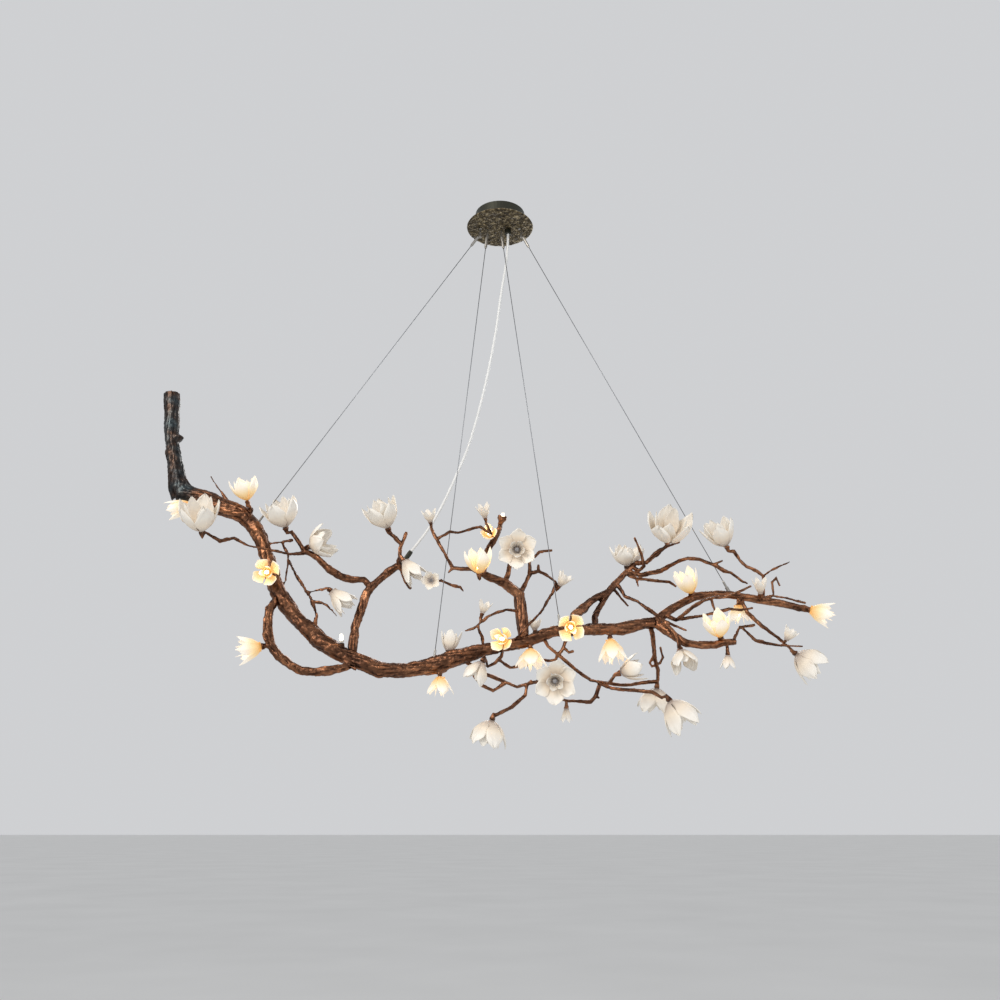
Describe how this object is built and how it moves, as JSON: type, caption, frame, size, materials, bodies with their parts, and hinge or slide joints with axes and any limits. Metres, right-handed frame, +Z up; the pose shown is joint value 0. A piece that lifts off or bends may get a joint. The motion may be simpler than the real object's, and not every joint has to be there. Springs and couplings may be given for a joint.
{
  "type": "branch chandelier",
  "caption": "Bronze branch chandelier with porcelain blossoms, some lit, hung by steel cables from a round ceiling canopy with a power cord.",
  "frame": {"origin": "middle of the canopy's ceiling face", "axes": "+Z up into the ceiling, +X along the branch to its thin end, +Y away from the viewer"},
  "size_m": [1.76, 0.2418, 1.4823],
  "materials": {
    "patinated_bronze": "satin",
    "hammered_bronze": "satin",
    "dark_bronze": "satin",
    "steel": "brushed",
    "cable_steel": "brushed",
    "white_cord": "satin",
    "white_plastic": "matte",
    "holder_ceramic": "matte",
    "lamp_glass": "frosted",
    "nut_bronze": "satin",
    "porcelain": "satin",
    "lit_porcelain": "satin"
  },
  "bodies": {
    "canopy": {"ceiling_bracket": "steel", "canopy_cup": "dark_bronze", "canopy_disc": "hammered_bronze", "canopy_screws": "steel", "cable_eyes": "steel", "cord_gland": "dark_bronze", "terminal_block": "white_plastic", "led_driver": "white_plastic"},
    "branch": {"branch_gland": "dark_bronze", "cable_anchors": "steel", "cable_grips": "steel", "climbing_branch": "patinated_bronze", "flower_nuts": "nut_bronze", "fork_branch": "patinated_bronze", "half_open_flowers": "porcelain", "hanging_twigs": "patinated_bronze", "hoop_branch": "patinated_bronze", "lamp_capsules": "lamp_glass", "lamp_holders": "holder_ceramic", "lit_bell_1": "lit_porcelain", "lit_bell_2": "lit_porcelain", "lit_bell_3": "lit_porcelain", "lit_bell_4": "lit_porcelain", "lit_bell_5": "lit_porcelain", "lit_bell_6": "lit_porcelain", "lit_cup_1": "lit_porcelain", "lit_cup_2": "lit_porcelain", "lit_cup_3": "lit_porcelain", "lit_cup_4": "lit_porcelain", "lit_open_1": "lit_porcelain", "lit_open_2": "lit_porcelain", "lit_open_3": "lit_porcelain", "lit_open_4": "lit_porcelain", "lit_tulip": "lit_porcelain", "lower_right_limb": "patinated_bronze", "open_flower_1": "porcelain", "open_flower_2": "porcelain", "power_cord": "white_cord", "small_blossoms": "porcelain", "spread_flower_1": "porcelain", "spread_flower_10": "porcelain", "spread_flower_11": "porcelain", "spread_flower_2": "porcelain", "spread_flower_3": "porcelain", "spread_flower_4": "porcelain", "spread_flower_5": "porcelain", "spread_flower_6": "porcelain", "spread_flower_7": "porcelain", "spread_flower_8": "porcelain", "spread_flower_9": "porcelain", "suspension_cables": "cable_steel", "trumpet_flower_1": "porcelain", "trumpet_flower_2": "porcelain", "trunk": "patinated_bronze", "upper_right_limb": "patinated_bronze", "upright_branch": "patinated_bronze"},
    "sleeve_1": {"release_sleeve_1": "steel"},
    "sleeve_2": {"release_sleeve_2": "steel"},
    "sleeve_3": {"release_sleeve_3": "steel"},
    "sleeve_4": {"release_sleeve_4": "steel"}
  },
  "joints": [
    {"name": "swing", "type": "hinge", "parent": "canopy", "child": "branch", "pos_m": [0, 0.01, -0.056], "axis": [1, 0, 0], "range_deg": [-5, 5]},
    {"name": "release_1", "type": "slide", "parent": "branch", "child": "sleeve_1", "axis": [0.5522, 0.001, 0.8337], "range_m": [0, 0.002], "stiffness_N_per_m": 300, "springref_m": -0.001},
    {"name": "release_2", "type": "slide", "parent": "branch", "child": "sleeve_2", "axis": [0.1042, 0.0014, 0.9946], "range_m": [0, 0.002], "stiffness_N_per_m": 300, "springref_m": -0.001},
    {"name": "release_3", "type": "slide", "parent": "branch", "child": "sleeve_3", "axis": [-0.1285, 0.0024, 0.9917], "range_m": [0, 0.002], "stiffness_N_per_m": 300, "springref_m": -0.001},
    {"name": "release_4", "type": "slide", "parent": "branch", "child": "sleeve_4", "axis": [-0.4543, -0.0301, 0.8903], "range_m": [0, 0.002], "stiffness_N_per_m": 300, "springref_m": -0.001}
  ]
}
